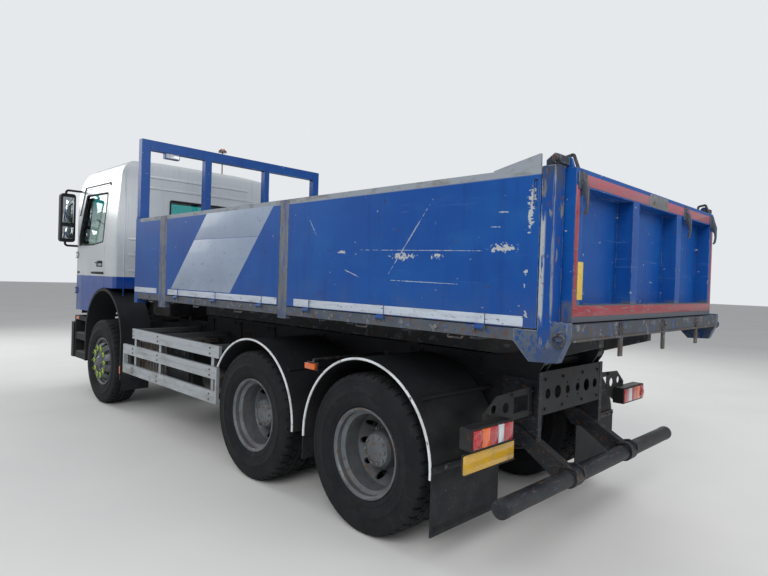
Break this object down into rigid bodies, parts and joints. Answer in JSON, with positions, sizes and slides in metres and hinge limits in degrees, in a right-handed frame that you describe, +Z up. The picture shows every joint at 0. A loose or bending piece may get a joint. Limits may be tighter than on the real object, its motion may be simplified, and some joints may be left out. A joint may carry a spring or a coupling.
{
  "type": "tipper truck",
  "caption": "Three-axle tipper truck with a short tilting cab, a dropside tipping body with a goalpost frame, a top-hung tailgate and a multi-stage underbody ram.",
  "frame": {"origin": "middle of the length and width at ground level", "axes": "+X forward along the truck, +Y to its left, +Z up"},
  "size_m": [7.82, 2.736, 3.54],
  "materials": {
    "frame_paint": "satin",
    "plastic_dark": "matte",
    "engine_grey": "matte",
    "tank_metal": "satin",
    "air_tank_paint": "satin",
    "exhaust_metal": "satin",
    "hydraulic_paint": "satin",
    "guard_grey": "satin",
    "flap_rubber": "matte",
    "lamp_lens": "gloss",
    "lamp_clear": "gloss",
    "cab_white": "gloss",
    "glass": "gloss",
    "seat_cloth": "matte",
    "amber": "gloss",
    "bed_steel": "matte",
    "blue_paint": "satin",
    "ram_steel": "satin",
    "tyre": "matte",
    "rim_silver": "satin"
  },
  "bodies": {
    "chassis": {"chassis_frame": "frame_paint", "subframe": "frame_paint", "front_bumper": "plastic_dark", "front_wings": "plastic_dark", "engine_block": "engine_grey", "front_axle": "frame_paint", "drive_axles": "frame_paint", "leaf_springs": "frame_paint", "prop_shafts": "frame_paint", "fuel_tank": "tank_metal", "exhaust_box": "exhaust_metal", "air_tanks": "air_tank_paint", "battery_box": "plastic_dark", "hydraulic_tank": "hydraulic_paint", "side_guards": "guard_grey", "rear_mudguards": "plastic_dark", "mudflaps": "flap_rubber", "underrun_bar": "frame_paint", "tail_lamps": "lamp_lens", "headlamps": "lamp_clear"},
    "cab": {"cab_shell": "cab_white", "cab_glass": "glass", "seats": "seat_cloth", "seat_bases": "plastic_dark", "dashboard": "plastic_dark", "grille": "plastic_dark", "mirrors": "plastic_dark", "beacon": "amber"},
    "door_left_body": {"door_left": "cab_white", "door_glass_left": "glass"},
    "door_right_body": {"door_right": "cab_white", "door_glass_right": "glass"},
    "steering_wheel_body": {"steering_wheel": "plastic_dark"},
    "tipping_body": {"bed_floor": "bed_steel", "headboard": "blue_paint", "bed_posts": "blue_paint"},
    "tailgate_body": {"tailgate": "blue_paint"},
    "dropside_front_left_body": {"dropside_front_left": "blue_paint"},
    "dropside_rear_left_body": {"dropside_rear_left": "blue_paint"},
    "dropside_front_right_body": {"dropside_front_right": "blue_paint"},
    "dropside_rear_right_body": {"dropside_rear_right": "blue_paint"},
    "ram_base": {"ram_barrel": "ram_steel"},
    "ram_first": {"ram_stage_1": "ram_steel"},
    "ram_second": {"ram_stage_2": "ram_steel"},
    "ram_rod": {"ram_stage_3": "ram_steel"},
    "knuckle_left_body": {"knuckle_left": "frame_paint"},
    "knuckle_right_body": {"knuckle_right": "frame_paint"},
    "track_rod_body": {"track_rod": "frame_paint"},
    "wheel_front_left": {"tyre_front_left": "tyre", "rim_front_left": "rim_silver"},
    "wheel_front_right": {"tyre_front_right": "tyre", "rim_front_right": "rim_silver"},
    "wheel_middle_left": {"tyre_middle_left": "tyre", "rim_middle_left": "rim_silver"},
    "wheel_middle_right": {"tyre_middle_right": "tyre", "rim_middle_right": "rim_silver"},
    "wheel_rear_left": {"tyre_rear_left": "tyre", "rim_rear_left": "rim_silver"},
    "wheel_rear_right": {"tyre_rear_right": "tyre", "rim_rear_right": "rim_silver"}
  },
  "joints": [
    {"name": "bed_tip", "type": "hinge", "parent": "chassis", "child": "tipping_body", "pos_m": [-3.3, 0, 1.2], "axis": [0, -1, 0], "range_deg": [0, 48]},
    {"name": "tailgate_swing", "type": "hinge", "parent": "tipping_body", "child": "tailgate_body", "pos_m": [-3.81, 0, 2.302], "axis": [0, 1, 0], "range_deg": [0, 75]},
    {"name": "dropside_rear_left_fold", "type": "hinge", "parent": "tipping_body", "child": "dropside_rear_left_body", "pos_m": [-2.48, 1.262, 1.445], "axis": [-1, 0, 0], "range_deg": [0, 175]},
    {"name": "dropside_front_left_fold", "type": "hinge", "parent": "tipping_body", "child": "dropside_front_left_body", "pos_m": [-2.48, 1.262, 1.445], "axis": [-1, 0, 0], "range_deg": [0, 175]},
    {"name": "dropside_rear_right_fold", "type": "hinge", "parent": "tipping_body", "child": "dropside_rear_right_body", "pos_m": [-2.48, -1.262, 1.445], "axis": [1, 0, 0], "range_deg": [0, 175]},
    {"name": "dropside_front_right_fold", "type": "hinge", "parent": "tipping_body", "child": "dropside_front_right_body", "pos_m": [-2.48, -1.262, 1.445], "axis": [1, 0, 0], "range_deg": [0, 175]},
    {"name": "cab_tilt", "type": "hinge", "parent": "chassis", "child": "cab", "pos_m": [3.8, 0, 1.015], "axis": [0, 1, 0], "range_deg": [0, 65]},
    {"name": "door_left_swing", "type": "hinge", "parent": "cab", "child": "door_left_body", "pos_m": [3.598, 1.136, 1.65], "axis": [0, 0, -1], "range_deg": [0, 70]},
    {"name": "door_right_swing", "type": "hinge", "parent": "cab", "child": "door_right_body", "pos_m": [3.598, -1.136, 1.65], "axis": [0, 0, 1], "range_deg": [0, 70]},
    {"name": "steer_left", "type": "hinge", "parent": "chassis", "child": "knuckle_left_body", "pos_m": [2.47, 0.905, 0.53], "axis": [0, 0, 1], "range_deg": [-35, 35]},
    {"name": "steer_right", "type": "hinge", "parent": "chassis", "child": "knuckle_right_body", "pos_m": [2.47, -0.905, 0.53], "axis": [0, 0, 1], "range_deg": [-35, 35]},
    {"name": "track_rod_pivot", "type": "hinge", "parent": "knuckle_left_body", "child": "track_rod_body", "pos_m": [2.34, 0.905, 0.367], "axis": [0, 0, 1], "range_deg": [-35, 35]},
    {"name": "steering_wheel_turn", "type": "hinge", "parent": "cab", "child": "steering_wheel_body", "pos_m": [3.22, -0.62, 2.09], "axis": [-0.8192, 0, 0.5736], "range_deg": [-420, 420]},
    {"name": "ram_lean", "type": "hinge", "parent": "chassis", "child": "ram_base", "pos_m": [-1.78, 0, 0.86], "axis": [0, -1, 0], "range_deg": [0, 21.01]},
    {"name": "ram_first_slide", "type": "slide", "parent": "ram_base", "child": "ram_first", "axis": [0, 0, 1], "range_m": [0, 0.40003]},
    {"name": "ram_second_slide", "type": "slide", "parent": "ram_first", "child": "ram_second", "axis": [0, 0, 1], "range_m": [0, 0.40003]},
    {"name": "ram_rod_slide", "type": "slide", "parent": "ram_second", "child": "ram_rod", "axis": [0, 0, 1], "range_m": [0, 0.40003]},
    {"name": "wheel_front_left_spin", "type": "hinge", "parent": "knuckle_left_body", "child": "wheel_front_left", "pos_m": [2.47, 1.023, 0.53], "axis": [0, 1, 0], "continuous": true},
    {"name": "wheel_front_right_spin", "type": "hinge", "parent": "knuckle_right_body", "child": "wheel_front_right", "pos_m": [2.47, -1.023, 0.53], "axis": [0, 1, 0], "continuous": true},
    {"name": "wheel_middle_left_spin", "type": "hinge", "parent": "chassis", "child": "wheel_middle_left", "pos_m": [-1.13, 0.902, 0.53], "axis": [0, 1, 0], "continuous": true},
    {"name": "wheel_middle_right_spin", "type": "hinge", "parent": "chassis", "child": "wheel_middle_right", "pos_m": [-1.13, -0.902, 0.53], "axis": [0, 1, 0], "continuous": true},
    {"name": "wheel_rear_left_spin", "type": "hinge", "parent": "chassis", "child": "wheel_rear_left", "pos_m": [-2.48, 0.902, 0.53], "axis": [0, 1, 0], "continuous": true},
    {"name": "wheel_rear_right_spin", "type": "hinge", "parent": "chassis", "child": "wheel_rear_right", "pos_m": [-2.48, -0.902, 0.53], "axis": [0, 1, 0], "continuous": true}
  ],
  "couplings": [
    {"joint": "steer_right", "follows": "steer_left", "ratio": 1},
    {"joint": "track_rod_pivot", "follows": "steer_left", "ratio": -1},
    {"joint": "steering_wheel_turn", "follows": "steer_left", "ratio": 12},
    {"joint": "ram_lean", "follows": "bed_tip", "ratio": 0.43722},
    {"joint": "ram_first_slide", "follows": "bed_tip", "m_per_rad": 0.4769},
    {"joint": "ram_second_slide", "follows": "bed_tip", "m_per_rad": 0.4769},
    {"joint": "ram_rod_slide", "follows": "bed_tip", "m_per_rad": 0.4769}
  ]
}
